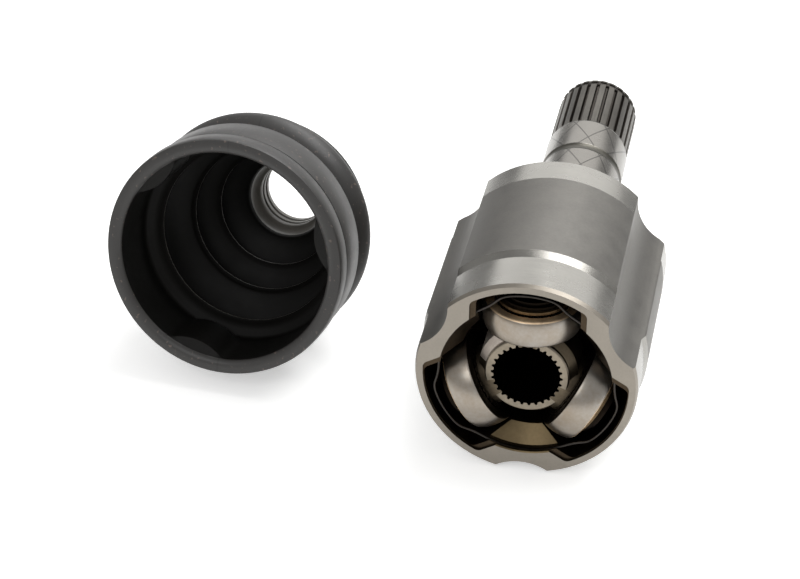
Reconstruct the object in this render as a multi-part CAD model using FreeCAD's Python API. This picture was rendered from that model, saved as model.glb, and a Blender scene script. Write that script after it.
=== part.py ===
import FreeCAD, Part
import math
import os
from FreeCAD import Vector

# Plunging tripod joint with its gaiter lying beside it.  All lengths are millimetres.
# +Z is up.  The housing axis is the Y axis: the mouth opens towards -Y, the stub points to +Y.
# The origin is the centre of the tripod, where the three trunnion axes and the housing axis meet.

# ---------------------------------------------------------------- housing
MOUTH_Y = -13.6          # plane of the mouth
BODY_R = 39.0            # turned outside of the three lobes
SEAT_R = 38.0            # gaiter seat
LIP_R = 37.4             # outside of the mouth after its chamfer
LIP_CHAMFER = 1.7        # length of that chamfer along the axis
SEAT_END = MOUTH_Y + 18.3        # where the seat meets the step
STEP_END = MOUTH_Y + 21.65       # where the step reaches the body
REAR_BAND_Y = MOUTH_Y + 69.7     # start of the turned band at the rear
REAR_BAND_R = 38.8
REAR_Y = MOUTH_Y + 81.6          # rear edge of the cup
FLUTE_R = 17.0           # radius of the hollow flutes between the lobes
FLUTE_BOTTOM = 33.8      # distance of the flute bottom from the axis
LOBE_FILLET = 0.9        # rounding of the lobes' long edges
FLUTE_ANGLES = (30.0, 150.0, 270.0)
LOBE_ANGLES = (90.0, 210.0, 330.0)

TRACK_HALF = 17.6        # half width between the two flat walls of a track
TRACK_R = 34.8           # outer wall of a track
TRACK_FILLET = 2.6
LAND_R = 24.0            # bore that touches the lands between the tracks
FLOOR_Y = MOUTH_Y + 68.0         # floor of the cup
MOUTH_TRACK_HALF = 19.7  # tracks opened out where rollers and tool enter
MOUTH_LAND_R = 29.4      # lands opened out near the mouth
WIRE_Y = MOUTH_Y + 2.4   # plane of the wire ring
WIRE_R = 0.55
GROOVE_R = 31.0

JOURNAL_R = 15.55        # ground length that runs in a bearing or seal
STUB_R = 15.25           # over the spline teeth
SPLINE_Y = MOUTH_Y + 155.5
SPLINE_TEETH = 26
SPLINE_ROOT_R = 14.15
STUB_END = MOUTH_Y + 189.7
CLIP_Y = STUB_END - 2.9
CLIP_WIRE_R = 0.8
MARK_GROOVE_Y = MOUTH_Y + 135.4

# ---------------------------------------------------------------- tripod
ROLLER_PCR = 20.6        # distance of a roller's middle from the axis
ROLLER_R = 17.2          # crowned outside, largest at mid length
ROLLER_HALF = 5.0
ROLLER_END_R = 16.3      # outside at its two ends
NEEDLE_R = 1.2
NEEDLE_PITCH_R = 11.72
NEEDLE_COUNT = 30
FIT = 0.02               # clearance of the needles to trunnion and roller
TRUNNION_R = NEEDLE_PITCH_R - NEEDLE_R - FIT
BORE_R = NEEDLE_PITCH_R + NEEDLE_R + FIT
NEEDLE_FROM = 15.45
NEEDLE_TO = 26.0
HUB_HALF = 10.0
HUB_FACE_R = 14.5
HUB_R = 17.0
FLAT = 15.3              # flat seat at the foot of each trunnion
TRUNNION_END = 29.6
HUB_TEETH = 30
HUB_ROOT_R = 12.3
HUB_TIP_R = 11.4

# ---------------------------------------------------------------- gaiter
BOOT_CENTRE = Vector(-113.4, MOUTH_Y + 33.5, 13.1)
BOOT_YAW = 4.8
BOOT_TILT = 13.15

Y_AXIS = Vector(0, 1, 0)
ORIGIN = Vector(0, 0, 0)

os.makedirs("parts", exist_ok=True)


def save(name, solids):
    """Write one node; a list of solids is kept as separate solids in one file."""
    shape = solids[0] if len(solids) == 1 else Part.makeCompound(solids)
    shape.exportStep("parts/" + name + ".step")
    print(name, len(shape.Solids), "solids", round(shape.Volume, 1), "mm3", shape.isValid())


def turned(profile):
    """Solid turned about the Y axis from (radius, y) points."""
    points = [Vector(radius, y, 0) for radius, y in profile]
    points.append(points[0])
    face = Part.Face(Part.makePolygon(points))
    return face.revolve(ORIGIN, Y_AXIS, 360)


def along_y(radius, start, end):
    return Part.makeCylinder(radius, end - start, Vector(0, start, 0), Y_AXIS)


def about_axis(shape, degrees):
    """Copy turned about the housing axis; positive takes +X towards +Z."""
    copy = shape.copy()
    copy.rotate(ORIGIN, Vector(0, -1, 0), degrees)
    return copy


def edges_where(shape, test):
    return [edge for edge in shape.Edges if test(edge)]


def is_axial(edge):
    """True for a straight edge that runs along Y."""
    first = edge.Vertexes[0].Point
    last = edge.Vertexes[-1].Point
    step = last.sub(first)
    return step.Length > 1.5 and abs(abs(step.y) - step.Length) < 1e-4


def radius_of(point):
    return math.hypot(point.x, point.z)


# ---------------------------------------------------------------- housing, one forging with its stub
def polar(radius, degrees, y=0.0):
    radians = math.radians(degrees)
    return Vector(radius * math.cos(radians), y, radius * math.sin(radians))


def lobed_outline(y):
    """Outline of the forged bar: three lobes on one circle, hollow flutes between, corners rounded."""
    away = FLUTE_BOTTOM + FLUTE_R
    lobe_side = BODY_R - LOBE_FILLET
    flute_side = FLUTE_R + LOBE_FILLET
    # the triangle of axis, flute centre and corner centre gives the corner's place
    cosine = (away ** 2 + lobe_side ** 2 - flute_side ** 2) / (2 * away * lobe_side)
    corner = math.degrees(math.acos(cosine))
    edges = []
    for flute in FLUTE_ANGLES:
        centre = polar(away, flute, y)
        marks = []
        for side in (-1, 1):
            middle = polar(lobe_side, flute + side * corner, y)
            on_lobe = polar(BODY_R, flute + side * corner, y)
            toward = centre.sub(middle)
            toward.normalize()
            on_flute = middle.add(toward * LOBE_FILLET)
            bulge = on_lobe.sub(middle).add(on_flute.sub(middle))
            bulge.normalize()
            marks.append((on_lobe, middle.add(bulge * LOBE_FILLET), on_flute))
        first, second = marks
        edges.append(Part.Arc(first[0], first[1], first[2]).toShape())
        edges.append(Part.Arc(first[2], polar(FLUTE_BOTTOM, flute, y), second[2]).toShape())
        edges.append(Part.Arc(second[2], second[1], second[0]).toShape())
        start = flute + corner
        end = flute + 120.0 - corner
        middle = polar(BODY_R, 0.5 * (start + end), y)
        edges.append(Part.Arc(second[0], middle, polar(BODY_R, end, y)).toShape())
    return Part.Wire(Part.sortEdges(edges)[0])


def housing_outside():
    """Forged lobed bar, turned down at the seat, the mouth and the rear."""
    bar = Part.Face(lobed_outline(MOUTH_Y - 2)).extrude(Vector(0, REAR_Y - MOUTH_Y + 8, 0))
    clear = 0.5
    step_slope = (STEP_END - SEAT_END) / (BODY_R - SEAT_R)
    envelope = turned([
        (0, MOUTH_Y),
        (LIP_R, MOUTH_Y),
        (SEAT_R, MOUTH_Y + LIP_CHAMFER),
        (SEAT_R, SEAT_END),
        (BODY_R + clear, STEP_END + clear * step_slope),
        (BODY_R + clear, REAR_BAND_Y - clear),
        (REAR_BAND_R, REAR_BAND_Y + BODY_R - REAR_BAND_R),
        (REAR_BAND_R, REAR_Y),
        (REAR_BAND_R - 1.6, REAR_Y + 1.2),
        (0, REAR_Y + 1.2),
    ])
    body = bar.common(envelope)
    neck = turned([
        (0, REAR_Y),
        (31.0, REAR_Y),
        (30.2, REAR_Y + 2.6),
        (19.6, REAR_Y + 9.0),
        (JOURNAL_R, REAR_Y + 17.5),
        (JOURNAL_R, MARK_GROOVE_Y - 1.4),
        (JOURNAL_R - 0.45, MARK_GROOVE_Y - 1.4),
        (JOURNAL_R - 0.45, MARK_GROOVE_Y + 1.4),
        (JOURNAL_R, MARK_GROOVE_Y + 1.4),
        (JOURNAL_R, SPLINE_Y - 1.0),
        (STUB_R, SPLINE_Y),
        (STUB_R, CLIP_Y - CLIP_WIRE_R - 0.1),
        (STUB_R - 1.8, CLIP_Y - CLIP_WIRE_R - 0.1),
        (STUB_R - 1.8, CLIP_Y + CLIP_WIRE_R + 0.1),
        (STUB_R, CLIP_Y + CLIP_WIRE_R + 0.1),
        (STUB_R, STUB_END - 1.2),
        (STUB_R - 1.2, STUB_END),
        (4.6, STUB_END),
        (0, STUB_END - 6.0),
    ])
    return body.fuse(neck).removeSplitter()


def spline_space(root_r, open_r, teeth, root_share, open_share):
    """One tooth space as a flat face in the plane y = 0, centred on +X.
    The shares are its half widths at the root and at the open side, as parts of the tooth pitch."""
    pitch = 2 * math.pi / teeth
    corners = []
    for radius, angle in (
        (root_r, -pitch * root_share),
        (root_r, pitch * root_share),
        (open_r, pitch * open_share),
        (open_r, -pitch * open_share),
    ):
        corners.append(Vector(radius * math.cos(angle), 0, radius * math.sin(angle)))
    corners.append(corners[0])
    return Part.Face(Part.makePolygon(corners))


def cut_external_spline(body):
    """Tooth spaces that run out up a short ramp, as the cutter leaves them."""
    space = spline_space(SPLINE_ROOT_R, STUB_R + 0.3, SPLINE_TEETH, 0.17, 0.34)
    space.translate(Vector(0, SPLINE_Y - 6, 0))
    straight = space.extrude(Vector(0, STUB_END - SPLINE_Y + 8, 0))
    ramp = 1.8
    low = SPLINE_ROOT_R - 2
    high = STUB_R + 2
    side = [
        Vector(low, SPLINE_Y + ramp * (STUB_R - low), -4),
        Vector(high, SPLINE_Y + ramp * (STUB_R - high), -4),
        Vector(high, STUB_END + 4, -4),
        Vector(low, STUB_END + 4, -4),
    ]
    side.append(side[0])
    cutter = straight.common(Part.Face(Part.makePolygon(side)).extrude(Vector(0, 0, 8)))
    cutters = [about_axis(cutter, 360.0 * k / SPLINE_TEETH) for k in range(SPLINE_TEETH)]
    return body.cut(Part.makeCompound(cutters))


def track(half, outer, start, end, fillet):
    """The hollow of the top track: flat parallel walls and an outer wall round the axis."""
    slab = Part.makeBox(2 * half, end - start, outer + 5, Vector(-half, start, 0))
    hollow = slab.common(along_y(outer, start, end))
    corners = edges_where(hollow, lambda e: is_axial(e) and radius_of(e.Vertexes[0].Point) > outer - 0.5)
    return hollow.makeFillet(fillet, corners)


def housing_inside():
    hollow = along_y(LAND_R, MOUTH_Y - 1, FLOOR_Y)
    top = track(TRACK_HALF, TRACK_R, MOUTH_Y - 1, FLOOR_Y, TRACK_FILLET)
    mouth = track(MOUTH_TRACK_HALF, TRACK_R + 0.3, MOUTH_Y - 1, MOUTH_Y + 0.9, TRACK_FILLET)
    for angle in (0.0, 120.0, 240.0):
        hollow = hollow.fuse(about_axis(top, angle))
        hollow = hollow.fuse(about_axis(mouth, angle))
    opened = turned([
        (0, MOUTH_Y - 1),
        (MOUTH_LAND_R + 1.4, MOUTH_Y - 1),
        (MOUTH_LAND_R, MOUTH_Y + 0.4),
        (MOUTH_LAND_R, WIRE_Y - 0.85),
        (GROOVE_R, WIRE_Y - 0.85),
        (GROOVE_R, WIRE_Y + 0.85),
        (MOUTH_LAND_R, WIRE_Y + 0.85),
        (MOUTH_LAND_R, MOUTH_Y + 4.2),
        (LAND_R, MOUTH_Y + 9.6),
        (0, MOUTH_Y + 9.6),
    ])
    return hollow.fuse(opened)


def make_housing():
    body = cut_external_spline(housing_outside())
    return body.cut(housing_inside())


# ---------------------------------------------------------------- wire ring that keeps the tripod in
def chords(radius, start, end, count, y):
    """Points along an arc, for thin wire that is swept along short straight lengths."""
    step = (end - start) / count
    return [polar(radius, start + step * k, y) for k in range(count + 1)]


def wire_section(radius, start, tangent):
    """Six-sided section of a thin wire, square to its path."""
    across = tangent.cross(Y_AXIS)
    across.normalize()
    loop = []
    for corner in range(7):
        angle = math.pi * corner / 3
        step = across * (radius * math.cos(angle)) + Y_AXIS * (radius * math.sin(angle))
        loop.append(start.add(step))
    return Part.makePolygon(loop)


def swept_wire(points, radius):
    path = Part.makePolygon(points)
    tangent = points[1].sub(points[0])
    tangent.normalize()
    return path.makePipeShell([wire_section(radius, points[0], tangent)], True, False, 1)


def make_wire_ring():
    """Round wire lying in the land grooves and bowed out round each track; open at one land."""
    seat_r = 30.35
    knee_r = 30.2
    bow_r = 32.7
    points = chords(seat_r, 156.0, 171.0, 2, WIRE_Y)
    for lobe in (210.0, 330.0, 450.0):
        points.append(polar(knee_r, lobe - 23.5, WIRE_Y))
        points += chords(bow_r, lobe - 17.5, lobe + 17.5, 4, WIRE_Y)
        points.append(polar(knee_r, lobe + 23.5, WIRE_Y))
        # the open ends stand 3 mm apart in the middle of the last land
        reach = 81.0 if lobe < 450.0 else 54.0
        count = 5 if lobe < 450.0 else 2
        points += chords(seat_r, lobe + 39.0, lobe + reach, count, WIRE_Y)
    return swept_wire(points, WIRE_R)


def make_stub_circlip():
    """Round-wire clip in the stub's end groove, gap downwards."""
    opening = 16.0
    pitch_r = STUB_R - CLIP_WIRE_R - 0.1
    return swept_wire(chords(pitch_r, -90.0 + opening, 270.0 - opening, 24, CLIP_Y), CLIP_WIRE_R)


# ---------------------------------------------------------------- tripod
def upright(profile):
    """Solid turned about the Z axis from (radius, height) points; the top trunnion stands on it."""
    points = [Vector(radius, 0, height) for radius, height in profile]
    points.append(points[0])
    return Part.Face(Part.makePolygon(points)).revolve(ORIGIN, Vector(0, 0, 1), 360)


def make_spider():
    hub = turned([
        (0, -HUB_HALF),
        (HUB_FACE_R - 0.5, -HUB_HALF),
        (HUB_FACE_R, -HUB_HALF + 0.5),
        (HUB_FACE_R, -HUB_HALF + 1.6),
        (HUB_R, -HUB_HALF + 4.0),
        (HUB_R, HUB_HALF - 4.0),
        (HUB_FACE_R, HUB_HALF - 1.6),
        (HUB_FACE_R, HUB_HALF - 0.5),
        (HUB_FACE_R - 0.5, HUB_HALF),
        (0, HUB_HALF),
    ])
    slabs = []
    for angle in (0.0, 120.0, 240.0):
        slab = Part.makeBox(60, 60, 20, Vector(-30, -30, FLAT))
        slabs.append(about_axis(slab, angle))
    hub = hub.cut(Part.makeCompound(slabs))
    trunnion = upright([
        (0, 2.0),
        (TRUNNION_R, 2.0),
        (TRUNNION_R, 27.35),
        (TRUNNION_R - 0.8, 27.35),
        (TRUNNION_R - 0.8, 28.55),
        (TRUNNION_R, 28.55),
        (TRUNNION_R, TRUNNION_END),
        (0, TRUNNION_END),
    ])
    body = hub
    for angle in (0.0, 120.0, 240.0):
        body = body.fuse(about_axis(trunnion, angle))
    bore = along_y(HUB_TIP_R, -HUB_HALF - 2, HUB_HALF + 2)
    space = spline_space(HUB_ROOT_R, HUB_TIP_R - 0.6, HUB_TEETH, 0.12, 0.42)
    space.translate(Vector(0, -HUB_HALF - 2, 0))
    cutter = space.extrude(Vector(0, 2 * HUB_HALF + 4, 0))
    cutters = [about_axis(cutter, 360.0 * k / HUB_TEETH) for k in range(HUB_TEETH)]
    return body.cut(bore).cut(Part.makeCompound(cutters))


def make_roller():
    """Top roller: crowned outside, plain bore that runs on the needles."""
    low = ROLLER_PCR - ROLLER_HALF
    high = ROLLER_PCR + ROLLER_HALF
    return upright([
        (BORE_R, low),
        (ROLLER_END_R, low),
        (ROLLER_R, ROLLER_PCR),
        (ROLLER_END_R, high),
        (BORE_R, high),
    ])


def polygon_ring(inner, outer, sides, low, high):
    """Flat ring of straight sides, for thin pieces hidden on the trunnions."""
    faces = []
    for radius in (outer, inner):
        loop = []
        for k in range(sides + 1):
            radians = 2 * math.pi * k / sides
            loop.append(Vector(radius * math.cos(radians), radius * math.sin(radians), low))
        faces.append(Part.Face(Part.makePolygon(loop)))
    return faces[0].cut(faces[1]).extrude(Vector(0, 0, high - low))


def make_needles():
    """Six-sided needles, as only their ends can be seen between roller and washer."""
    needles = []
    for k in range(NEEDLE_COUNT):
        turn = 2 * math.pi * k / NEEDLE_COUNT
        middle = Vector(NEEDLE_PITCH_R * math.cos(turn), NEEDLE_PITCH_R * math.sin(turn), NEEDLE_FROM)
        loop = []
        for corner in range(7):
            angle = turn + math.pi * corner / 3
            loop.append(middle.add(Vector(NEEDLE_R * math.cos(angle), NEEDLE_R * math.sin(angle), 0)))
        needles.append(Part.Face(Part.makePolygon(loop)).extrude(Vector(0, 0, NEEDLE_TO - NEEDLE_FROM)))
    return needles


def make_retainer():
    """Washer that keeps the needles on the trunnion."""
    return polygon_ring(TRUNNION_R + 0.1, BORE_R - 0.2, 32, 26.15, 27.15)


def make_snap_ring():
    """Snap ring in the trunnion groove, open at one side."""
    ring = polygon_ring(TRUNNION_R - 0.7, TRUNNION_R + 1.3, 32, 27.45, 28.45)
    gap = Part.makeBox(5.0, 10, 4, Vector(-2.5, TRUNNION_R - 4, 26.4))
    return ring.cut(gap)


# ---------------------------------------------------------------- gaiter
BOOT_OUTSIDE = (
    (0.0, 43.0), (3.0, 43.9), (24.6, 42.8), (28.8, 36.2), (39.4, 42.7), (48.8, 30.8),
    (54.6, 37.0), (61.8, 25.4), (66.6, 29.4), (73.4, 17.9), (90.0, 17.9),
)
BOOT_INSIDE = (
    (90.0, 12.2), (78.6, 12.2), (66.6, 26.4), (61.8, 22.4), (54.6, 33.8), (48.8, 27.8), (39.4, 39.7),
    (28.8, 33.0), (24.0, 38.3), (0.0, 38.3),
)


def make_boot():
    """Rubber gaiter in its own frame (mouth in the plane y = 0), then laid down beside the joint."""
    profile = [(radius, y) for y, radius in BOOT_OUTSIDE + BOOT_INSIDE]
    body = turned(profile)
    for angle in FLUTE_ANGLES:
        foot = polar(FLUTE_BOTTOM + FLUTE_R, angle, 1.6)
        pad = Part.makeCylinder(FLUTE_R - 0.3, 21.0, foot, Y_AXIS)
        body = body.fuse(pad.common(along_y(41.0, 1.6, 22.6)))
    body.rotate(ORIGIN, Vector(1, 0, 0), -BOOT_TILT)
    body.rotate(ORIGIN, Vector(0, 0, 1), -BOOT_YAW)
    body.translate(BOOT_CENTRE)
    return body


save("housing", [make_housing()])
save("wire_retaining_ring", [make_wire_ring()])
save("stub_circlip", [make_stub_circlip()])
save("spider", [make_spider()])
TOP_SET = {
    "roller": [make_roller()],
    "needle_rollers": make_needles(),
    "needle_retainer": [make_retainer()],
    "snap_ring": [make_snap_ring()],
}
for number, lobe_angle in enumerate(LOBE_ANGLES, start=1):
    for stem, solids in TOP_SET.items():
        placed = [about_axis(solid, lobe_angle - 90.0) for solid in solids]
        save(stem + "_" + str(number), placed)
save("boot", [make_boot()])
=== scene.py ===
"""Plunging tripod joint and its rubber boot, dressed over the CAD frame.

Run as a script: it registers its operators, calls them in order and finishes the scene.
"""

import math

import bpy
from mathutils import Matrix, Vector


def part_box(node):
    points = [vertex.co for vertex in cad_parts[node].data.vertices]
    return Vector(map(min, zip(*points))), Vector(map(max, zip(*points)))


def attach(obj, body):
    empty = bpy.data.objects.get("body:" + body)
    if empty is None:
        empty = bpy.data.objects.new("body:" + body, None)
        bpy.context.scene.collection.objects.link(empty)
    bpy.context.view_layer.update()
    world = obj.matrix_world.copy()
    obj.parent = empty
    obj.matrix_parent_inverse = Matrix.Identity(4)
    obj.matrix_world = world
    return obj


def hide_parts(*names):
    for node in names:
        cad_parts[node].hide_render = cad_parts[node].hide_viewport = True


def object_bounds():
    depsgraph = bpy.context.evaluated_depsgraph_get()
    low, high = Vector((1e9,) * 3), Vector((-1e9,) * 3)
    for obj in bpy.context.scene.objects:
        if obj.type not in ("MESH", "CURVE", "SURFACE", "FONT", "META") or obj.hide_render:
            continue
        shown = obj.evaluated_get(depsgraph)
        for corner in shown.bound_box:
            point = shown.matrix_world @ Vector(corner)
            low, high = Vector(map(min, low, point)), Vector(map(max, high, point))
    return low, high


bl_info = {
    "name": "Tripod Joint Dresser",
    "version": (1, 0, 0),
    "blender": (4, 5, 0),
    "location": "3D View > Sidebar > Tripod Joint",
    "description": "Finishes the steel, rubber and stage of a plunging tripod drive-shaft joint",
    "category": "Object",
}

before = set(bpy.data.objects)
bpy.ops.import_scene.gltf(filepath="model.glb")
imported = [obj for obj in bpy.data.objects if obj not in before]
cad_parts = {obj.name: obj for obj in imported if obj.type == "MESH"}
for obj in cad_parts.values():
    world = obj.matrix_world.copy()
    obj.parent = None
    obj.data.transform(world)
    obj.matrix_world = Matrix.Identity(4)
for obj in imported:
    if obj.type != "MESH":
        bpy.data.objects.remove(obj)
CAD_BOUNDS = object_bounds()
MM = 0.001
PER_MM = 1.0 / MM                # noise scale of a pattern with one lump per millimetre
MERGE = 0.004 * MM               # vertices closer than this are one

# Stations along the cup's axis (Y), in millimetres, counted from the mouth as the solids have them.
CUP_LOW, CUP_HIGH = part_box("housing")
MOUTH_Y = CUP_LOW.y / MM
STUB_END_Y = CUP_HIGH.y / MM
STEP_END_Y = MOUTH_Y + 21.65
REAR_BAND_Y = MOUTH_Y + 69.7
REAR_Y = MOUTH_Y + 81.6
NECK_Y = REAR_Y + 1.2
JOURNAL_Y = REAR_Y + 17.5
MARK_GROOVE_Y = MOUTH_Y + 135.4
SPLINE_Y = MOUTH_Y + 155.5
CLIP_Y = STUB_END_Y - 2.9
JOURNAL_R = 15.55
SPLINE_R = 15.25
SPLINE_ROOT_R = 14.1
SPLINE_TEETH = 26

# Tripod: half length of the hub, and a roller's middle, half width, radius and bore.
HUB_HALF = 10.0
ROLLER_PITCH_R = 20.6
ROLLER_HALF = 5.0
ROLLER_R = 17.2
ROLLER_BORE_R = 12.94

# Boot: middle of its mouth, inner radius there, angles of its pads, and its inner ridges as
# (station, radius), from the collar to the mouth.
BOOT_MOUTH = Vector((-113.4, 19.9, 13.1)) * MM
BOOT_WALL_R = 38.3
PAD_ANGLES = (16.0, 136.0, 256.0)
RIDGES = ((62.0, 22.1), (48.9, 27.5), (29.2, 32.9))


# ------------------------------------------------------------------ settings
class JointSteelSettings(bpy.types.PropertyGroup):
    """Finish of the cup, tripod and small steel pieces."""

    edge_break: bpy.props.FloatProperty(
        name="Edge break", description="Width of the rounded edges left by deburring",
        default=0.25 * MM, min=0.0, max=1.0 * MM, subtype="DISTANCE", unit="LENGTH", precision=5)
    blasted: bpy.props.StringProperty(
        name="Blasted steel", description="Colour of the forged and shot-blasted flanks, sRGB hex",
        default="6d6b67")
    turned: bpy.props.StringProperty(
        name="Turned steel", description="Colour of the turned bands, sRGB hex", default="8b8984")
    ground: bpy.props.StringProperty(
        name="Ground steel", description="Colour of the ground journal, sRGB hex",
        default="787570")


class BootSettings(bpy.types.PropertyGroup):
    """Sizes of the rubber boot, measured along and round its own axis."""

    segments: bpy.props.IntProperty(
        name="Segments", description="Number of divisions round the boot", default=192, min=48,
        max=360)
    yaw: bpy.props.FloatProperty(
        name="Yaw", description="Turn of the boot's axis from the cup's axis, seen from above",
        default=math.radians(4.8), subtype="ANGLE", unit="ROTATION")
    tilt: bpy.props.FloatProperty(
        name="Tilt", description="Drop of the small end as the boot lies on its convolutions",
        default=math.radians(13.15), subtype="ANGLE", unit="ROTATION")
    rubber: bpy.props.StringProperty(
        name="Rubber", description="Colour of the dusty outside, sRGB hex", default="2e2d2c")
    # The inside's colour is drawn near black as painted shade.
    inside: bpy.props.StringProperty(
        name="Inside", description="Colour of the shade-painted inside, sRGB hex", default="080705")


class StageSettings(bpy.types.PropertyGroup):
    """Camera, light and floor."""

    focal: bpy.props.FloatProperty(
        name="Focal length", description="Lens of the camera", default=112.5, min=20.0,
        unit="CAMERA")
    azimuth: bpy.props.FloatProperty(
        name="Azimuth", description="Camera's turn round the joint from the mouth side",
        default=math.radians(10.95), subtype="ANGLE", unit="ROTATION")
    elevation: bpy.props.FloatProperty(
        name="Elevation", description="Camera's height angle", default=math.radians(33.14),
        subtype="ANGLE", unit="ROTATION")
    room: bpy.props.FloatProperty(
        name="Room light", description="Strength of the even light all round", default=0.55,
        min=0.0)
    lift: bpy.props.FloatProperty(
        name="Paper white", description="Share of white added to the floor as it is seen",
        default=0.45, min=0.0, max=1.0)
    overhead: bpy.props.FloatProperty(
        name="Overhead softbox", description="Power of the softbox above", default=9.0, min=0.0,
        unit="POWER")
    back: bpy.props.FloatProperty(
        name="Back softbox", description="Power of the softbox behind the stub", default=3.1,
        min=0.0, unit="POWER")
    front: bpy.props.FloatProperty(
        name="Front softbox", description="Power of the softbox at the front left", default=2.4,
        min=0.0, unit="POWER")
    roll: bpy.props.FloatProperty(
        name="Roll", description="Camera's roll", default=math.radians(0.56), subtype="ANGLE",
        unit="ROTATION")


# ------------------------------------------------------------------ small helpers
def linear(hex_text):
    """sRGB hex to a linear colour with full alpha."""
    values = []
    for k in (0, 2, 4):
        c = int(hex_text[k:k + 2], 16) / 255.0
        values.append(c / 12.92 if c <= 0.04045 else ((c + 0.055) / 1.055) ** 2.4)
    return (*values, 1.0)


def scaled(colour, *factors):
    """A linear colour with each channel times its factor, at most 1; one factor does for all."""
    if len(factors) == 1:
        factors *= 3
    return (*(min(c * f, 1.0) for c, f in zip(colour, factors)), 1.0)


def add_node(tree, kind, links=None, **settings):
    """Adds a node, sets its fields or sockets by name, and links sockets to it."""
    node = tree.nodes.new(kind)
    for key, value in settings.items():
        if hasattr(node, key):
            setattr(node, key, value)
    for key, source in (links or {}).items():
        socket = node.inputs[key]
        if isinstance(source, bpy.types.NodeSocket):
            tree.links.new(source, socket)
        else:
            socket.default_value = source
    return node


def new_material(name):
    """An empty node material with its surface shader; returns material, tree and shader."""
    material = bpy.data.materials.new(name)
    material.use_nodes = True
    tree = material.node_tree
    shader = tree.nodes["Principled BSDF"]
    return material, tree, shader


def object_place(tree):
    """Socket with the place on the object, which every pattern is drawn from."""
    return add_node(tree, "ShaderNodeTexCoord").outputs["Object"]


def add_math(tree, operation, *values):
    """Socket of a Math node; its values are numbers or sockets, in order."""
    return add_node(tree, "ShaderNodeMath", dict(enumerate(values)), operation=operation).outputs[0]


def add_noise(tree, place, scale, detail, roughness=0.5):
    """Socket of a Noise texture."""
    noise = add_node(tree, "ShaderNodeTexNoise", {
        "Vector": place, "Scale": scale, "Detail": detail, "Roughness": roughness})
    return noise.outputs["Fac"]


def add_range(tree, value, from_min, from_max, to_min=0.0, to_max=1.0):
    """Socket of a Map Range node."""
    spread = add_node(tree, "ShaderNodeMapRange", {
        "Value": value, "From Min": from_min, "From Max": from_max, "To Min": to_min,
        "To Max": to_max})
    return spread.outputs["Result"]


def add_mix(tree, share, first, second):
    """Socket of a colour mix; each colour is a socket or a linear colour."""
    mix = add_node(tree, "ShaderNodeMix", {"Factor": share}, data_type="RGBA")
    for key, source in (("A", first), ("B", second)):
        if isinstance(source, bpy.types.NodeSocket):
            tree.links.new(source, mix.inputs[key])
        else:
            mix.inputs[key].default_value = source
    return mix.outputs["Result"]


def add_relief(tree, shader, height, strength):
    """Bumps the surface by a height that stands for 0.05 mm."""
    relief = add_node(tree, "ShaderNodeBump", {
        "Height": height, "Strength": strength, "Distance": 0.05 * MM})
    tree.links.new(relief.outputs["Normal"], shader.inputs["Normal"])


def deselect_all():
    """Leaves edit mode and deselects every object."""
    if bpy.context.object and bpy.context.object.mode != "OBJECT":
        bpy.ops.object.mode_set(mode="OBJECT")
    bpy.ops.object.select_all(action="DESELECT")


def make_active(obj):
    """Makes an object the only selected one and the active one."""
    deselect_all()
    obj.select_set(True)
    bpy.context.view_layer.objects.active = obj


def apply_modifier(obj, kind, **settings):
    """Adds a modifier with these settings and applies it."""
    make_active(obj)
    modifier = obj.modifiers.new(kind.title(), kind)
    for key, value in settings.items():
        setattr(modifier, key, value)
    bpy.ops.object.modifier_apply(modifier=modifier.name)


def copy_of_node(node, name, swept=False):
    """A merged copy of a CAD node, its flat facets joined, or paired to quads on a swept wire."""
    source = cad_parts[node]
    piece = bpy.data.objects.new(name, source.data.copy())
    bpy.context.scene.collection.objects.link(piece)
    piece.data.materials.clear()
    make_active(piece)
    bpy.ops.object.mode_set(mode="EDIT")
    bpy.ops.mesh.select_all(action="SELECT")
    bpy.ops.mesh.customdata_custom_splitnormals_clear()
    bpy.ops.mesh.remove_doubles(threshold=MERGE)
    if swept:
        bpy.ops.mesh.tris_convert_to_quads(
            face_threshold=math.radians(3), shape_threshold=math.radians(60))
    else:
        bpy.ops.mesh.dissolve_limited(angle_limit=math.radians(0.4))
    bpy.ops.object.mode_set(mode="OBJECT")
    return piece


def break_edges(piece, width):
    """Rounds every edge sharper than the facets of a round face, which meet at up to 8 degrees."""
    apply_modifier(piece, "BEVEL", width=width, segments=2, limit_method="ANGLE",
                   angle_limit=math.radians(11.0), use_clamp_overlap=True)


def finish_piece(piece, nodes, body, smooth=30.0, weighted=False):
    """Shades a piece, puts it in the place of its CAD nodes and on its body."""
    make_active(piece)
    bpy.ops.object.shade_smooth_by_angle(angle=math.radians(smooth))
    if weighted:
        apply_modifier(piece, "WEIGHTED_NORMAL", mode="FACE_AREA", weight=80, keep_sharp=True)
    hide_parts(*nodes)
    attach(piece, body)


def join_shells(piece, other):
    """Makes two shells one piece, which keeps the first one's name."""
    make_active(piece)
    other.select_set(True)
    bpy.ops.object.join()


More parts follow.
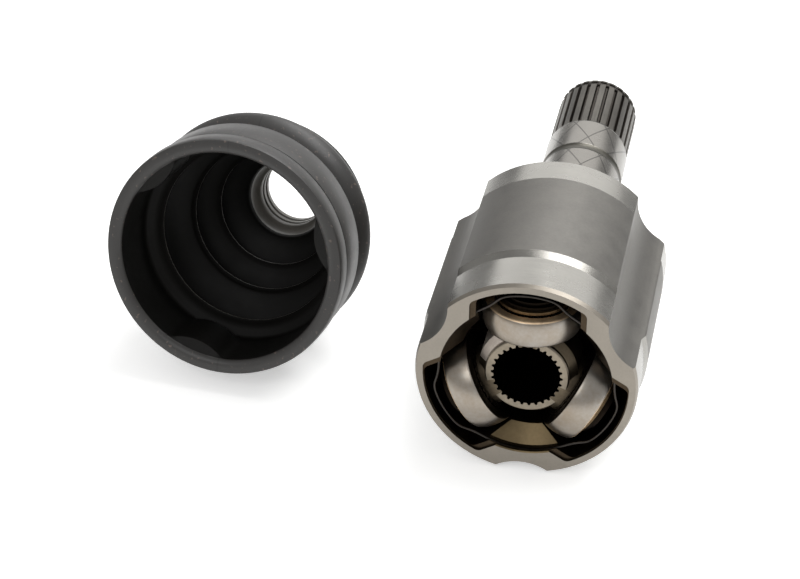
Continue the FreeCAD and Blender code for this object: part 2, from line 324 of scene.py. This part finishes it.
def turned_tube(name, stations, segments, axis="Y"):
    """Tube built ring by ring: a circle, then extruded, moved and scaled to each station.

    Stations are (place along the axis, radius) in millimetres; a radius near 0 closes a pole.
    """
    deselect_all()
    first_s, first_r = stations[0]
    upright = axis == "Z"
    bpy.ops.mesh.primitive_circle_add(
        vertices=segments, radius=first_r * MM, fill_type="NOTHING",
        location=(0, 0, first_s * MM) if upright else (0, first_s * MM, 0),
        rotation=(0, 0, 0) if upright else (math.radians(90), 0, 0))
    piece = bpy.context.object
    piece.name = name
    bpy.ops.object.transform_apply(location=True, rotation=True, scale=True)
    bpy.ops.object.mode_set(mode="EDIT")
    bpy.ops.mesh.select_all(action="SELECT")
    before_s, before_r = first_s, first_r
    for s, r in stations[1:]:
        move = (s - before_s) * MM
        factor = r / before_r
        bpy.ops.mesh.extrude_edges_move(
            TRANSFORM_OT_translate={"value": (0, 0, move) if upright else (0, move, 0)})
        bpy.ops.transform.resize(
            value=(factor, factor, 1.0) if upright else (factor, 1.0, factor),
            center_override=(0, 0, s * MM) if upright else (0, s * MM, 0))
        before_s, before_r = s, r
    bpy.ops.mesh.select_all(action="SELECT")
    bpy.ops.mesh.remove_doubles(threshold=MERGE)
    bpy.ops.mesh.normals_make_consistent(inside=False)
    bpy.ops.object.mode_set(mode="OBJECT")
    return piece


def eased(points, steps=4):
    """Smooth run through a few (station, radius) points, by a Catmull-Rom curve."""
    run = []
    for k in range(len(points) - 1):
        p0 = points[max(k - 1, 0)]
        p1, p2 = points[k], points[k + 1]
        p3 = points[min(k + 2, len(points) - 1)]
        for step in range(steps):
            t = step / steps
            run.append(tuple(
                0.5 * (2 * b + (c - a) * t + (2 * a - 5 * b + 4 * c - d) * t ** 2
                       + (3 * b - a - 3 * c + d) * t ** 3)
                for a, b, c, d in zip(p0, p1, p2, p3)))
    return run + [points[-1]]


# ------------------------------------------------------------------ materials
def settings_steel():
    """The panel's settings for steel."""
    return bpy.context.scene.joint_steel


def steel(name, colour, roughness, grain_mm, mottling=0.08, bump=0.2, cloud_mm=14.0, stain=None):
    """Bare steel: cloudy colour, uneven roughness and the fine grain that its working leaves.

    grain_mm is the size of the grain along X, Y and Z; a long side makes it run as tool marks.
    stain is the colour of its darker clouds, where heat or oil has tinted it.
    """
    material, tree, shader = new_material(name)
    place = object_place(tree)
    cloud = add_noise(tree, place, PER_MM / cloud_mm, 3.0, 0.6)
    run = add_node(tree, "ShaderNodeMapping", {
        "Vector": place, "Scale": tuple(PER_MM / size for size in grain_mm)})
    grain = add_noise(tree, run.outputs["Vector"], 1.0, 3.0)
    base = linear(colour)
    dark = linear(stain) if stain else scaled(base, 1.0 - mottling)
    light = scaled(base, 1.0 + mottling)
    uneven = add_math(tree, "MULTIPLY_ADD", grain, 0.3, cloud)
    tone = add_mix(tree, add_range(tree, uneven, 0.45, 0.85), dark, light)
    tree.links.new(tone, shader.inputs["Base Color"])
    rough = add_range(tree, cloud, 0.3, 0.7, roughness - 0.04, roughness + 0.06)
    tree.links.new(rough, shader.inputs["Roughness"])
    add_relief(tree, shader, grain, bump)
    shader.inputs["Metallic"].default_value = 1.0
    return material


def blasted_steel():
    """Forged carbon steel, shot-blasted: an even satin grey with a fine pebbled grain."""
    return steel("carbon_steel_shot_blasted", settings_steel().blasted, 0.48, (0.9, 0.9, 0.9),
                 mottling=0.12, bump=0.6, cloud_mm=7.0)


def turned_steel():
    """Carbon steel turned in a lathe: brighter, with rings round the axis.

    The feed marks are 0.2 mm apart and are drawn 0.9 mm apart, so that they show.
    """
    return steel("carbon_steel_turned", settings_steel().turned, 0.25, (14.0, 0.9, 14.0), bump=0.12)


def faced_steel():
    """Mouth face, turned square and lightly oiled: a warm, half-matt grey."""
    return steel("carbon_steel_faced", "8a847b", 0.40, (0.8, 0.8, 0.8), mottling=0.1, bump=0.12)


def oil_and_painted_light_steel(name, colour, roughness=0.36):
    """Hardened steel wet with preserving oil: darker and browner, glossier in patches. Several of
    the colours it is given are painted shade, and one, on the cup's lower land, is painted light.
    """
    return steel(name, colour, roughness, (1.0, 1.0, 1.0), mottling=0.18, bump=0.12, cloud_mm=8.0)


def ground_steel():
    """Hardened bearing steel, ground and lapped: satin grey, browned in places by old oil."""
    return steel("bearing_steel_ground", "9d9993", 0.33, (1.2, 1.2, 1.2), mottling=0.05, bump=0.04,
                 cloud_mm=22.0, stain="8c8173")


def scored_journal_steel():
    """Ground journal with the shallow crossed helical lines that carry oil round it.

    Eight lines run each way round the journal, 20.9 mm apart along it. They are 0.5 mm wide and
    look darker.
    """
    lines, apart_mm, darkness = 8, 20.9, 0.75
    half_width = 0.024                      # as a share of the way from one line to the next
    material = steel("carbon_steel_ground_scored", settings_steel().ground, 0.24, (14.0, 0.8, 14.0),
                     mottling=0.06, bump=0.08)
    tree = material.node_tree
    shader = tree.nodes["Principled BSDF"]
    axes = add_node(tree, "ShaderNodeSeparateXYZ", {"Vector": object_place(tree)}).outputs
    angle = add_math(tree, "ARCTAN2", axes["X"], axes["Z"])
    turn = add_math(tree, "MULTIPLY", angle, lines / (2.0 * math.pi))
    marks = []
    for hand, start in ((1.0, 0.287), (-1.0, 0.961)):
        along = add_math(tree, "MULTIPLY_ADD", axes["Y"], hand * PER_MM / apart_mm, turn)
        phase = add_math(tree, "FRACT", add_math(tree, "ADD", along, 0.5 - start))
        marks.append(add_math(tree, "COMPARE", phase, 0.5, half_width))
    share = add_math(tree, "MULTIPLY", add_math(tree, "MAXIMUM", *marks), darkness)
    plain = shader.inputs["Base Color"].links[0].from_socket
    scored = add_mix(tree, share, plain, linear("3c3a37"))
    tree.links.new(scored, shader.inputs["Base Color"])
    return material


def boot_rubber(name, colour, roughness, dust=0.0, seam=False, sheen=0.5):
    """Injection-moulded chloroprene rubber: charcoal, half matt, with a faint dusty bloom.

    dust is the share of brownish specks; seam draws the thin line left where the mould parts.
    """
    material, tree, shader = new_material(name)
    place = object_place(tree)
    cloud = add_noise(tree, place, PER_MM / 30.0, 5.0, 0.7)
    grain = add_noise(tree, place, PER_MM / 0.9, 3.0)
    base = linear(colour)
    tone = add_mix(tree, cloud, scaled(base, 0.65), scaled(base, 1.4, 1.35, 1.3))
    if dust > 0.0:
        specks = add_noise(tree, place, PER_MM / 1.6, 2.0)
        tone = add_mix(tree, add_range(tree, specks, 0.64, 0.72, 0.0, dust), tone, linear("6f6058"))
    if seam:
        own = add_node(tree, "ShaderNodeMapping", {
            "Vector": place, "Location": tuple(BOOT_MOUTH),
            "Rotation": tuple(boot_turn().to_euler())}, vector_type="TEXTURE")
        axes = add_node(tree, "ShaderNodeSeparateXYZ", {"Vector": own.outputs["Vector"]}).outputs
        near = add_math(tree, "COMPARE", axes["X"], 0.0, 0.25 * MM)
        tone = add_mix(tree, add_math(tree, "MULTIPLY", near, 0.45), tone, linear("141311"))
    tree.links.new(tone, shader.inputs["Base Color"])
    rough = add_range(tree, cloud, 0.3, 0.7, roughness - 0.06, roughness + 0.08)
    tree.links.new(rough, shader.inputs["Roughness"])
    add_relief(tree, shader, grain, 0.3)
    shader.inputs["IOR"].default_value = 1.52
    shader.inputs["Specular IOR Level"].default_value = sheen
    return material


# ------------------------------------------------------------------ cup
def cut_stub_off(cup):
    """Cuts the neck and stub off the cup's copy, a hair below its rear face, and closes the cut."""
    make_active(cup)
    bpy.ops.object.mode_set(mode="EDIT")
    bpy.ops.mesh.select_all(action="SELECT")
    bpy.ops.mesh.bisect(plane_co=(0, (NECK_Y - 0.05) * MM, 0), plane_no=(0, 1, 0), clear_outer=True,
                        use_fill=True, threshold=0.001 * MM)
    bpy.ops.object.mode_set(mode="OBJECT")


def clamped(value):
    """The value kept between 0 and 1."""
    return min(max(value, 0.0), 1.0)


def tooth_radius(x, z, y, plain):
    """Radius of the splined end at a place, with tooth spaces that run out up a ramp."""
    if y < SPLINE_Y - 0.01 or plain < SPLINE_ROOT_R:
        return plain
    ramp = 2.4
    crest_end, root_start = 0.31, 0.39      # places on a flank, as shares of the tooth pitch
    tooth = math.atan2(z, x) / (2.0 * math.pi) * SPLINE_TEETH
    from_crest = abs(tooth - round(tooth))
    share = clamped((from_crest - crest_end) / (root_start - crest_end))
    run_in = clamped((y - SPLINE_Y) / ramp) ** 0.7
    behind_clip = y < CLIP_Y + 1.0
    depth = SPLINE_R - SPLINE_ROOT_R if behind_clip else 0.55
    return min(plain, SPLINE_R - depth * run_in * share)


def make_stub():
    """Forged neck, journal with its mid groove, splined end with clip groove and chamfer."""
    groove = [(-2.3, 0.0), (-2.0, -0.12), (-1.5, -0.36), (-0.8, -0.5), (0.0, -0.54),
              (0.8, -0.5), (1.5, -0.36), (2.0, -0.12), (2.3, 0.0)]
    stations = [(NECK_Y - 0.4, 0.001), (NECK_Y - 0.4, 30.6), (NECK_Y + 0.3, 30.6),
                (NECK_Y + 1.0, 30.3), (NECK_Y + 1.5, 30.0)]
    stations += eased([
        (NECK_Y + 1.9, 29.3), (NECK_Y + 4.0, 25.3), (NECK_Y + 7.0, 20.4), (NECK_Y + 10.5, 17.3),
        (JOURNAL_Y - 1.6, 15.75), (JOURNAL_Y, JOURNAL_R)])
    stations += [(MARK_GROOVE_Y + s, JOURNAL_R + r) for s, r in groove]
    stations += [(SPLINE_Y - 0.9, JOURNAL_R), (SPLINE_Y - 0.3, SPLINE_R + 0.05)]
    stations += [(SPLINE_Y + s, SPLINE_R) for s in (0.0, 0.3, 0.7, 1.2, 1.8, 2.4)]
    clip = [(-1.35, 0.0), (-1.1, -0.25), (-0.9, -1.7), (0.9, -1.7), (1.1, -0.4), (1.25, -0.15)]
    stations += [(CLIP_Y + s, SPLINE_R + r) for s, r in clip]
    stations += [(STUB_END_Y - 0.9, SPLINE_R - 0.15), (STUB_END_Y - 0.3, SPLINE_R - 0.6),
                 (STUB_END_Y, SPLINE_R - 1.2), (STUB_END_Y, 4.6), (STUB_END_Y - 6.0, 0.001)]
    stub = turned_tube("stub", stations, SPLINE_TEETH * 10)
    for vertex in stub.data.vertices:
        x, y, z = vertex.co / MM
        plain = math.hypot(x, z)
        wanted = tooth_radius(x, z, y, plain)
        if wanted < plain:
            vertex.co.x *= wanted / plain
            vertex.co.z *= wanted / plain
    return stub


# Finishes of the cup and stub, as indices of their materials.
BLASTED, TURNED, FACED, TRACK, JOURNAL, SPLINE, SPLINE_ROOT, MARK_GROOVE, LAND_PAINTED_LIGHT = range(9)


def stub_finish(y, radius):
    """Finish of a face of the journal or the splined end."""
    if y > SPLINE_Y - 0.05:
        # Tooth spaces before the clip groove get painted shade.
        in_space = radius < SPLINE_R - 0.45 and y < CLIP_Y + 1.0
        return SPLINE_ROOT if in_space else SPLINE
    return MARK_GROOVE if abs(y - MARK_GROOVE_Y) < 2.1 else JOURNAL


def cup_finish(face):
    """Finish of a face of the cup or stub, by where it lies and which way it looks."""
    c, n = face.center / MM, face.normal
    radius = math.hypot(c.x, c.z)
    outward = (n.x * c.x + n.z * c.z) / max(radius, 1e-6)
    if c.y > JOURNAL_Y - 0.5:
        return stub_finish(c.y, radius)
    on_mouth_face = c.y < MOUTH_Y + 0.05 and abs(n.y) > 0.8
    on_mouth_rim = c.y < MOUTH_Y + 1.6 and radius > 36.8
    if on_mouth_face or on_mouth_rim:
        return FACED
    if outward < 0.2 and radius < 36.0 and c.y < REAR_BAND_Y:
        # Only the lower land takes the golden painted light; the other lands keep the dark track
        # colour as painted shade.
        on_lower_land = radius < 29.8 and c.y < MOUTH_Y + 11.0 and c.z < -15.0
        return LAND_PAINTED_LIGHT if on_lower_land else TRACK
    on_rear_band = c.y > REAR_BAND_Y and outward > 0.9
    on_seat_or_step = c.y < STEP_END_Y and outward > 0.5 and radius > 37.0
    return TURNED if on_rear_band or on_seat_or_step else BLASTED


class JOINT_OT_dress_cup(bpy.types.Operator):
    """Cup and stub: deburred edges, blasted flanks, turned bands, ground journal, oiled tracks"""

    bl_idname = "tripod_joint.dress_cup"
    bl_label = "Dress cup and stub"

    def execute(self, context):
        cup = copy_of_node("housing", "cup_and_stub")
        cut_stub_off(cup)
        break_edges(cup, settings_steel().edge_break)
        join_shells(cup, make_stub())
        finishes = {
            BLASTED: blasted_steel(),
            TURNED: turned_steel(),
            FACED: faced_steel(),
            # Tracks and upper lands: oiled hardened steel, drawn dark brown, which is also painted
            # shade inside the cup.
            TRACK: oil_and_painted_light_steel("carbon_steel_hardened_oiled_painted_shade", "40372c"),
            JOURNAL: scored_journal_steel(),
            # Rolled teeth: a dull grey, with streaks along them where the rolls have run.
            SPLINE: steel("carbon_steel_rolled_spline", "5b5853", 0.42, (0.8, 9.0, 0.8),
                          mottling=0.25, bump=0.25),
            # Tooth spaces: painted shade, dark so that the teeth stand out.
            SPLINE_ROOT: oil_and_painted_light_steel("carbon_steel_spline_root_painted_shade", "37322d", 0.40),
            # Groove turned with a round tool: a darker, duller ring round the bright journal.
            MARK_GROOVE: steel("carbon_steel_turned_groove", "57554f", 0.36, (14.0, 0.8, 14.0)),
            # Painted light on the lower land at the mouth, where the light falls in: golden brown
            # and glossy.
            LAND_PAINTED_LIGHT: oil_and_painted_light_steel("carbon_steel_land_painted_light", "62553f", 0.38),
        }
        cup.data.materials.clear()
        for index in sorted(finishes):
            cup.data.materials.append(finishes[index])
        for face in cup.data.polygons:
            face.material_index = cup_finish(face)
        finish_piece(cup, ("housing",), "housing", 32.0, weighted=True)
        return {"FINISHED"}


# ------------------------------------------------------------------ tripod
def roller_stations():
    """Half section of a roller that stands upright: crowned outside, rounded ends, plain bore."""
    low, high = ROLLER_PITCH_R - ROLLER_HALF, ROLLER_PITCH_R + ROLLER_HALF
    crown_half, crown_drop = ROLLER_HALF - 0.75, 0.62
    crown = [(ROLLER_PITCH_R + k / 6.0 * crown_half, ROLLER_R - crown_drop * (k / 6.0) ** 2)
             for k in range(-6, 7)]
    corner = [(0.4, ROLLER_BORE_R), (0.0, ROLLER_BORE_R + 0.4), (0.0, 15.75), (0.12, 16.1),
              (0.4, 16.4)]
    inner_end = [(low + s, r) for s, r in corner]
    outer_end = [(high - s, r) for s, r in reversed(corner)]
    return inner_end + crown + outer_end + [inner_end[0]]


def level_hub_face(spider):
    """Levels the feet of the trunnions with the hub's end face, so that it is an even ring."""
    end_y, foot_r = -HUB_HALF * MM, 15.5 * MM
    for vertex in spider.data.vertices:
        if vertex.co.y < end_y and math.hypot(vertex.co.x, vertex.co.z) < foot_r:
            vertex.co.y = end_y


def spider_finish(face):
    """Index of the finish that a face of the spider has, in the order of its materials."""
    hardened, faced, painted_shade, painted_highlight = range(4)
    face_y, hub_r, teeth_r, trunnion_end_r = -9.3, 14.7, 12.6, 26.5
    c = face.center / MM
    radius = math.hypot(c.x, c.z)
    if c.y < face_y and radius < hub_r:
        return faced
    # The bore and the trunnion ends get painted shade.
    if radius < teeth_r or radius > trunnion_end_r:
        return painted_shade
    # A patch of the flank at the upper left gets the painted highlight.
    at_upper_left = 118.0 < math.degrees(math.atan2(c.z, c.x)) < 168.0
    on_flank = radius > 14.4 and c.y < 6.0
    return painted_highlight if on_flank and at_upper_left else hardened


def roller_finish(face):
    """Index of the finish that a face of a roller has, while its axis still stands upright."""
    race, end_face, painted_shade = range(3)
    c = face.center / MM
    is_end = abs(face.normal.z) > 0.5
    is_bore = math.hypot(c.x, c.y) < 14.0
    if is_end and c.z > ROLLER_PITCH_R:
        return end_face
    # The inner end and the bore get painted shade.
    return painted_shade if is_end or is_bore else race


class JOINT_OT_dress_tripod(bpy.types.Operator):
    """Spider, rollers, needles, washers and snap rings"""

    bl_idname = "tripod_joint.dress_tripod"
    bl_label = "Dress tripod and rollers"

    def execute(self, context):
        spider = copy_of_node("spider", "tripod_spider")
        level_hub_face(spider)
        break_edges(spider, 0.15 * MM)
        for material in (
                # Case-hardened forging: dull brown-grey under its oil.
                oil_and_painted_light_steel("alloy_steel_case_hardened", "645a4b", 0.42),
                # Hub face, turned square: lighter and warmer.
                oil_and_painted_light_steel("alloy_steel_faced", "877e70", 0.42),
                # Painted shade on the bore and trunnion ends: nearly black, with a soft shine.
                oil_and_painted_light_steel("alloy_steel_greased", "1d1813", 0.40),
                # Painted highlight on a patch of the flank at the upper left: pale, rough and
                # faintly pink.
                steel("alloy_steel_burnished", "efe2d6", 0.52, (0.9, 0.9, 0.9), mottling=0.2,
                      bump=0.4)):
            spider.data.materials.append(material)
        for face in spider.data.polygons:
            face.material_index = spider_finish(face)
        finish_piece(spider, ("spider",), "tripod", 32.0, weighted=True)
        race = ground_steel()
        # Roller's outer end: a soft tan, lighter than the race.
        end_face = oil_and_painted_light_steel("bearing_steel_end_face", "e2c8a6", 0.50)
        # Painted shade on the bore, inner end, needles and snap rings: nearly black.
        painted_shade = oil_and_painted_light_steel("bearing_steel_greased", "1a1510", 0.45)
        # Phosphated washer: a dull brown.
        washer = oil_and_painted_light_steel("spring_steel_phosphated", "6d5c46", 0.45)
        for k, angle in ((1, 0.0), (2, 120.0), (3, 240.0)):
            roller = turned_tube("crowned_roller_%d" % k, roller_stations(), 144, "Z")
            for material in (race, end_face, painted_shade):
                roller.data.materials.append(material)
            for face in roller.data.polygons:
                face.material_index = roller_finish(face)
            roller.data.transform(Matrix.Rotation(math.radians(-angle), 4, "Y"))
            finish_piece(roller, ("roller_%d" % k,), "roller_%d" % k)
            for stem, material in (("needle_rollers_%d", painted_shade), ("needle_retainer_%d", washer),
                                   ("snap_ring_%d", painted_shade)):
                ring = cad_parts[stem % k]
                ring.data.materials.clear()
                ring.data.materials.append(material)
        return {"FINISHED"}


class JOINT_OT_dress_wires(bpy.types.Operator):
    """Wire ring in the mouth and circlip on the stub"""

    bl_idname = "tripod_joint.dress_wires"
    bl_label = "Dress wire ring and circlip"

    def execute(self, context):
        # Drawn wire under oil: dark grey with a thin bright line along it.
        wire_steel = oil_and_painted_light_steel("spring_steel_drawn_wire", "3e3b38", 0.36)
        for node, name in (("wire_retaining_ring", "wire_ring"),
                           ("stub_circlip", "round_wire_clip")):
            wire = copy_of_node(node, name, swept=True)
            apply_modifier(wire, "SUBSURF", levels=2, render_levels=2)
            wire.data.materials.append(wire_steel)
            finish_piece(wire, (node,), "housing", 60.0)
        return {"FINISHED"}


# ------------------------------------------------------------------ boot
def boot_outside():
    """Outside of the boot from lip to collar, as (station, radius) in millimetres.

    The lip, the clamp band and the collar have moulded corners; the convolutions are smooth.
    """
    lip = [(0.1, 42.6), (0.25, 43.2), (0.6, 43.35), (1.1, 43.5), (3.0, 43.55), (7.2, 43.55),
           (7.5, 43.35), (7.6, 42.7), (7.7, 41.6), (8.6, 41.4), (9.5, 41.6), (9.6, 42.4),
           (9.7, 42.7)]
    band = [(10.0, 42.85), (16.0, 42.85), (24.1, 42.85), (24.4, 42.7), (24.5, 42.3), (24.6, 41.0)]
    folds = eased([
        (25.4, 39.6), (27.2, 36.9), (29.2, 36.2), (31.6, 37.4), (34.4, 40.4), (37.6, 42.4),
        (40.2, 42.6), (42.6, 40.8), (44.8, 36.6), (46.8, 32.4), (48.8, 30.6), (50.8, 31.8),
        (52.8, 35.2), (54.8, 36.8), (56.6, 35.6), (58.8, 30.6), (60.6, 26.6), (62.2, 25.3),
        (63.8, 26.6), (65.4, 28.9), (66.8, 29.3), (68.4, 27.6), (70.2, 23.6), (72.0, 20.0),
        (74.0, 18.2), (76.0, 17.9)])
    collar = [(78.2, 17.9), (78.8, 17.6), (79.2, 16.9), (79.8, 16.8), (84.6, 16.8), (85.2, 16.9),
              (85.6, 17.6), (86.2, 17.9), (89.0, 17.9), (89.6, 17.6), (90.0, 16.9)]
    return lip + band + folds + collar


def boot_inside():
    """Inside of the boot from collar to lip, as (station, radius) in millimetres."""
    bore = [(90.0, 13.4), (89.7, 12.6), (89.0, 12.3), (87.0, 12.3), (86.6, 12.9), (85.6, 12.9),
            (85.2, 12.3), (83.4, 12.3), (83.0, 12.9), (82.0, 12.9), (81.6, 12.3), (79.6, 12.3),
            (79.0, 12.7), (78.4, 13.4)]
    near_collar = eased([
        (76.4, 14.6), (74.6, 14.9), (73.2, 15.6), (71.4, 18.4), (69.6, 22.4), (67.8, 25.6),
        (66.4, 26.3), (65.0, 25.4), (63.6, 23.4)])
    middle = eased([
        (60.4, 23.4), (58.6, 26.6), (56.6, 31.8), (55.0, 33.7), (53.4, 32.6), (51.2, 29.4),
        (50.2, 28.4)])
    outer = eased([
        (47.6, 28.4), (46.6, 29.2), (44.4, 33.0), (42.0, 38.4), (39.6, 39.8), (36.6, 38.8),
        (33.0, 35.2), (30.6, 33.6)])
    mouth = [(27.0, 33.9), (25.2, 35.6), (24.4, 37.4), (23.6, 38.1)]
    mouth += [(s, BOOT_WALL_R) for s in (22.6, 21.4, 16.0, 10.0, 5.0, 3.4, 2.8, 2.3, 1.9)]
    mouth += [(1.5, 38.35), (0.9, 38.7), (0.3, 39.6), (0.05, 40.4), (0.0, 41.0)]
    ridge = [(0.8, 0.6), (0.25, 0.0), (-0.25, 0.0), (-0.8, 0.6)]
    inside = bore + near_collar
    for (crest_s, crest_r), after in zip(RIDGES, (middle, outer, mouth)):
        inside += [(crest_s + s, crest_r + r) for s, r in ridge] + after
    return inside


def pad_radius(around, depth):
    """Inner radius of the mouth where a pad fills one of the cup's flutes, in millimetres.

    A pad is part of a cylinder of radius bulge, whose axis lies away from the boot's axis. It
    starts 1.4 mm behind the lip and ends 23.2 mm behind it, and blends into the wall.
    """
    away, bulge, blend = 50.8, 16.7, 0.8
    start, ramp_in, end, ramp_out = 1.4, 1.0, 23.2, 1.6
    span = bulge ** 2 - (away * math.sin(around)) ** 2
    if span <= 0.0:
        return BOOT_WALL_R
    pad = away * math.cos(around) - math.sqrt(span)
    softened = -blend * math.log(math.exp(-pad / blend) + math.exp(-BOOT_WALL_R / blend))
    fade = clamped((end - depth) / ramp_out) * clamped((depth - start) / ramp_in)
    fade = fade * fade * (3.0 - 2.0 * fade)
    return BOOT_WALL_R + (min(softened, BOOT_WALL_R) - BOOT_WALL_R) * fade


def press_pads(boot):
    """Moves the mouth's inner wall inwards at the three pads."""
    wall_end, wall_max_r = 24.0, 39.9
    for vertex in boot.data.vertices:
        x, y, z = vertex.co / MM
        radius = math.hypot(x, z)
        if y > wall_end or radius > wall_max_r:
            continue
        angle = math.degrees(math.atan2(z, x))
        around = min(((angle - pad + 180.0) % 360.0 - 180.0 for pad in PAD_ANGLES), key=abs)
        wanted = pad_radius(math.radians(around), y)
        if wanted < BOOT_WALL_R:
            factor = (radius - BOOT_WALL_R + wanted) / radius
            vertex.co.x *= factor
            vertex.co.z *= factor


def boot_finish(face):
    """Index of the finish that a face of the boot has, before the boot is laid down."""
    outside, inside, ridge_line, collar_bore = range(4)
    lip_end, collar_start, ridge_half = 1.7, 75.3, 0.3
    c, n = face.center / MM, face.normal
    looks_outward = n.x * c.x + n.z * c.z >= 0.0
    if looks_outward or c.y <= lip_end:
        return outside
    # The collar's bore gets painted light.
    if c.y > collar_start:
        return collar_bore
    # The crests of the inner ridges get painted highlights.
    on_ridge = min(abs(c.y - s) for s, _ in RIDGES) < ridge_half
    return ridge_line if on_ridge else inside


def boot_turn():
    """Turn from the boot's own frame (axis +Y) to the way it lies."""
    settings = bpy.context.scene.boot_settings
    return Matrix.Rotation(-settings.yaw, 4, "Z") @ Matrix.Rotation(-settings.tilt, 4, "X")


class JOINT_OT_make_boot(bpy.types.Operator):
    """Convoluted rubber boot with a lobed mouth, lying beside the cup"""

    bl_idname = "tripod_joint.make_boot"
    bl_label = "Make rubber boot"

    def execute(self, context):
        settings = context.scene.boot_settings
        outside = boot_outside()
        boot = turned_tube("rubber_boot", outside + boot_inside() + [outside[0]],
                           settings.segments)
        press_pads(boot)
        for material in (
                boot_rubber("chloroprene_rubber_moulded", settings.rubber, 0.44, 0.5, seam=True),
                # The inside: near black as painted shade.
                boot_rubber("chloroprene_rubber_inside_painted_shade", settings.inside, 0.6, sheen=0.2),
                # Painted highlights along the crests of the inner ridges.
                boot_rubber("chloroprene_rubber_ridge_painted_highlights", "4a4842", 0.45),
                # The bore of the collar: lighter than the rubber, as painted light.
                boot_rubber("chloroprene_rubber_collar_bore_painted_light", "66645f", 0.45)):
            boot.data.materials.append(material)
        for face in boot.data.polygons:
            face.material_index = boot_finish(face)
        boot.data.transform(Matrix.Translation(BOOT_MOUTH) @ boot_turn())
        finish_piece(boot, ("boot",), "boot", 38.0)
        return {"FINISHED"}


# ------------------------------------------------------------------ stage
WHITE = (1.0, 1.0, 1.0, 1.0)
CAMERA_PLACE = (0.08909, -0.69711, 0.48566)
LAMP_AIM = Vector((-0.04, 0.05, 0.0))


def paper_sweep(lift):
    """Matt white paper: pale grey under light, lifted to white where it is seen."""
    material, tree, shader = new_material("paper_sweep_white")
    shader.inputs["Base Color"].default_value = linear("f4f4f3")
    shader.inputs["Roughness"].default_value = 0.9
    shader.inputs["Specular IOR Level"].default_value = 0.1
    path = add_node(tree, "ShaderNodeLightPath").outputs
    seen = add_math(tree, "MAXIMUM", path["Is Camera Ray"], path["Is Glossy Ray"])
    seen = add_math(tree, "MAXIMUM", seen, path["Is Transmission Ray"])
    shader.inputs["Emission Color"].default_value = WHITE
    tree.links.new(add_math(tree, "MULTIPLY", seen, lift), shader.inputs["Emission Strength"])
    return material


class JOINT_OT_set_stage(bpy.types.Operator):
    """Pale floor, soft lights and the camera"""

    bl_idname = "tripod_joint.set_stage"
    bl_label = "Set stage"

    def execute(self, context):
        scene = context.scene
        stage = scene.stage_settings
        scene.view_settings.view_transform = "Standard"
        floor_gap = 0.1 * MM             # between the lowest piece and the floor
        deselect_all()
        bpy.ops.mesh.primitive_plane_add(size=6.0, location=(0, 0, CAD_BOUNDS[0].z - floor_gap))
        floor = bpy.context.object
        floor.name = "floor"
        floor.data.materials.append(paper_sweep(stage.lift))
        world = bpy.data.worlds.new("pale_room")
        scene.world = world
        world.use_nodes = True
        background = world.node_tree.nodes["Background"]
        background.inputs["Color"].default_value = WHITE
        background.inputs["Strength"].default_value = stage.room
        # Name, place, width and depth in metres, and power.
        lamps = (
            ("overhead_softbox", (0.30, 0.42, 0.95), (1.1, 0.40), stage.overhead),
            ("back_softbox", (0.06, 1.12, 0.60), (1.5, 0.40), stage.back),
            ("front_softbox", (-0.30, -0.85, 0.80), (0.5, 0.5), stage.front),
        )
        for name, place, size, power in lamps:
            data = bpy.data.lights.new(name, "AREA")
            data.shape = "RECTANGLE"
            data.size, data.size_y = size
            data.energy = power
            lamp = bpy.data.objects.new(name, data)
            scene.collection.objects.link(lamp)
            lamp.location = place
            lamp.rotation_euler = (LAMP_AIM - lamp.location).to_track_quat("-Z", "Y").to_euler()
        data = bpy.data.cameras.new("camera")
        camera = bpy.data.objects.new("camera", data)
        scene.collection.objects.link(camera)
        data.sensor_width = 36.0
        data.lens = stage.focal
        data.clip_start = 0.01
        camera.location = CAMERA_PLACE
        turn = (Matrix.Rotation(stage.azimuth, 4, "Z")
                @ Matrix.Rotation(math.radians(90) - stage.elevation, 4, "X")
                @ Matrix.Rotation(stage.roll, 4, "Z"))
        camera.rotation_euler = turn.to_euler()
        scene.camera = camera
        return {"FINISHED"}


class JOINT_PT_panel(bpy.types.Panel):
    """Lists the steps in the order they are run"""

    bl_idname = "JOINT_PT_panel"
    bl_label = "Tripod Joint"
    bl_space_type = "VIEW_3D"
    bl_region_type = "UI"
    bl_category = "Tripod Joint"

    def draw(self, context):
        layout = self.layout
        for group in ("joint_steel", "boot_settings", "stage_settings"):
            settings = getattr(context.scene, group)
            for key in settings.bl_rna.properties.keys():
                if key not in ("rna_type", "name"):
                    layout.prop(settings, key)
        for operator in OPERATORS:
            layout.operator(operator.bl_idname)


OPERATORS = (
    JOINT_OT_dress_cup,
    JOINT_OT_dress_tripod,
    JOINT_OT_dress_wires,
    JOINT_OT_make_boot,
    JOINT_OT_set_stage,
)
CLASSES = (JointSteelSettings, BootSettings, StageSettings, *OPERATORS, JOINT_PT_panel)


def register():
    for cls in CLASSES:
        bpy.utils.register_class(cls)
    bpy.types.Scene.joint_steel = bpy.props.PointerProperty(type=JointSteelSettings)
    bpy.types.Scene.boot_settings = bpy.props.PointerProperty(type=BootSettings)
    bpy.types.Scene.stage_settings = bpy.props.PointerProperty(type=StageSettings)


def unregister():
    del bpy.types.Scene.stage_settings
    del bpy.types.Scene.boot_settings
    del bpy.types.Scene.joint_steel
    for cls in reversed(CLASSES):
        bpy.utils.unregister_class(cls)


def main():
    register()
    bpy.ops.tripod_joint.dress_cup()
    bpy.ops.tripod_joint.dress_tripod()
    bpy.ops.tripod_joint.dress_wires()
    bpy.ops.tripod_joint.make_boot()
    bpy.ops.tripod_joint.set_stage()


if __name__ == "__main__":
    main()
